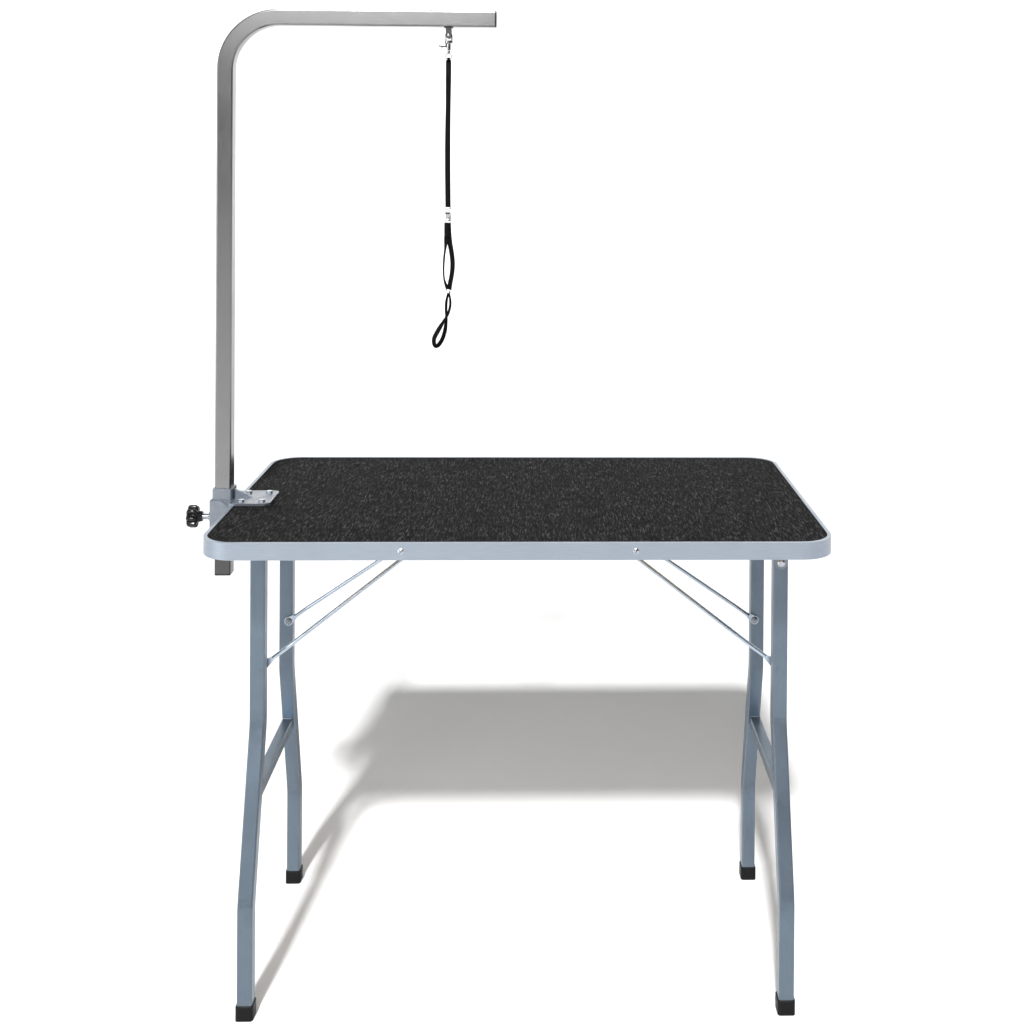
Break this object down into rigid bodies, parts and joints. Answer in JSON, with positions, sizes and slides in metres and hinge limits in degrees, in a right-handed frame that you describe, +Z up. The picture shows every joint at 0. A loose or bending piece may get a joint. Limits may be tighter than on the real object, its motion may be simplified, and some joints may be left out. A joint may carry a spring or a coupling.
{
  "type": "folding grooming table",
  "caption": "Folding pet grooming table with textured rubber top, two splayed tube leg frames, rod stays, a clamped bent arm and a hanging strap noose.",
  "frame": {"origin": "on the floor, below the middle of the object's box", "axes": "+Z up, +X from the arm along the table to the other end, -Y the front"},
  "size_m": [1.0856, 0.6032, 1.658],
  "materials": {
    "board": "satin",
    "mat": "textured matt",
    "rim": "satin",
    "steel": "brushed",
    "zinc": "bright zinc",
    "arm": "polished",
    "cap": "moulded",
    "knob": "moulded",
    "chrome": "plated",
    "webbing": "woven nylon"
  },
  "bodies": {
    "table": {"top_board": "board", "rubber_mat": "mat", "edge_rim": "rim", "rim_screws": "zinc", "hinge_bracket_left_front": "zinc", "hinge_bracket_left_rear": "zinc", "hinge_bracket_right_front": "zinc", "hinge_bracket_right_rear": "zinc", "hinge_pins": "zinc", "bracket_screws": "zinc", "stay_catch_left_front": "zinc", "stay_catch_left_rear": "zinc", "stay_catch_right_front": "zinc", "stay_catch_right_rear": "zinc", "catch_screws": "zinc", "clamp_body": "zinc", "clamp_bolts": "zinc"},
    "left_leg_frame": {"leg_left_front": "steel", "leg_left_rear": "steel", "foot_cap_left_front": "cap", "foot_cap_left_rear": "cap", "cross_tube_left": "steel", "stay_bolts_left": "zinc"},
    "stay_left_front_arm": {"stay_left_front": "zinc"},
    "stay_left_rear_arm": {"stay_left_rear": "zinc"},
    "right_leg_frame": {"leg_right_front": "steel", "leg_right_rear": "steel", "foot_cap_right_front": "cap", "foot_cap_right_rear": "cap", "cross_tube_right": "steel", "stay_bolts_right": "zinc"},
    "stay_right_front_arm": {"stay_right_front": "zinc"},
    "stay_right_rear_arm": {"stay_right_rear": "zinc"},
    "arm": {"arm_tube": "arm", "beam_plug": "knob", "mast_plug": "knob", "noose_eye": "chrome"},
    "pad": {"pressure_pad": "zinc"},
    "knob": {"clamp_knob": "knob", "clamp_screw": "zinc"},
    "hook": {"snap_hook": "chrome"},
    "trigger": {"snap_trigger": "chrome"},
    "noose": {"swivel_ring": "chrome", "noose_strap": "webbing", "noose_loop": "webbing", "loop_twist": "webbing", "end_loop": "webbing"},
    "slider": {"noose_slider": "chrome"}
  },
  "joints": [
    {"name": "left_legs_fold", "type": "hinge", "parent": "table", "child": "left_leg_frame", "pos_m": [-0.3998, 0, 0.745], "axis": [0, -1, 0], "range_deg": [0, 90]},
    {"name": "stay_left_front_turn", "type": "hinge", "parent": "left_leg_frame", "child": "stay_left_front_arm", "pos_m": [-0.3938, -0.10545, 0.537], "axis": [0, 1, 0], "range_deg": [0, 124.7]},
    {"name": "stay_left_rear_turn", "type": "hinge", "parent": "left_leg_frame", "child": "stay_left_rear_arm", "pos_m": [-0.3938, 0.10545, 0.537], "axis": [0, 1, 0], "range_deg": [0, 124.7]},
    {"name": "right_legs_fold", "type": "hinge", "parent": "table", "child": "right_leg_frame", "pos_m": [0.4822, 0, 0.717], "axis": [0, 1, 0], "range_deg": [0, 89]},
    {"name": "stay_right_front_turn", "type": "hinge", "parent": "right_leg_frame", "child": "stay_right_front_arm", "pos_m": [0.4762, -0.10545, 0.537], "axis": [0, -1, 0], "range_deg": [0, 124.3]},
    {"name": "stay_right_rear_turn", "type": "hinge", "parent": "right_leg_frame", "child": "stay_right_rear_arm", "pos_m": [0.4762, 0.10545, 0.537], "axis": [0, -1, 0], "range_deg": [0, 124.3]},
    {"name": "arm_slide", "type": "slide", "parent": "table", "child": "arm", "axis": [0, 0, 1], "range_m": [-0.25, 0.06]},
    {"name": "pad_travel", "type": "slide", "parent": "table", "child": "pad", "axis": [-1, 0, 0], "range_m": [0, 0.0026]},
    {"name": "knob_turn", "type": "hinge", "parent": "pad", "child": "knob", "pos_m": [-0.5428, -0.034, 0.77], "axis": [-1, 0, 0], "range_deg": [0, 720]},
    {"name": "noose_swing", "type": "hinge", "parent": "arm", "child": "hook", "pos_m": [-0.0928, -0.034, 1.6146], "axis": [0, 1, 0], "range_deg": [-30, 30]},
    {"name": "trigger_pull", "type": "slide", "parent": "hook", "child": "trigger", "axis": [0, 0, -1], "range_m": [0, 0.005], "stiffness_N_per_m": 300, "springref_m": -0.002},
    {"name": "swivel_spin", "type": "hinge", "parent": "hook", "child": "noose", "pos_m": [-0.0928, -0.034, 1.5885], "axis": [0, 0, 1], "continuous": true},
    {"name": "slider_slide", "type": "slide", "parent": "noose", "child": "slider", "axis": [0, 0, 1], "range_m": [0, 0.22]}
  ],
  "couplings": [
    {"joint": "stay_left_front_turn", "follows": "left_legs_fold", "ratio": 1.3802},
    {"joint": "stay_left_rear_turn", "follows": "left_legs_fold", "ratio": 1.3802},
    {"joint": "stay_right_front_turn", "follows": "right_legs_fold", "ratio": 1.3912},
    {"joint": "stay_right_rear_turn", "follows": "right_legs_fold", "ratio": 1.3912},
    {"joint": "pad_travel", "follows": "knob_turn", "m_per_rad": 0.00019894}
  ]
}
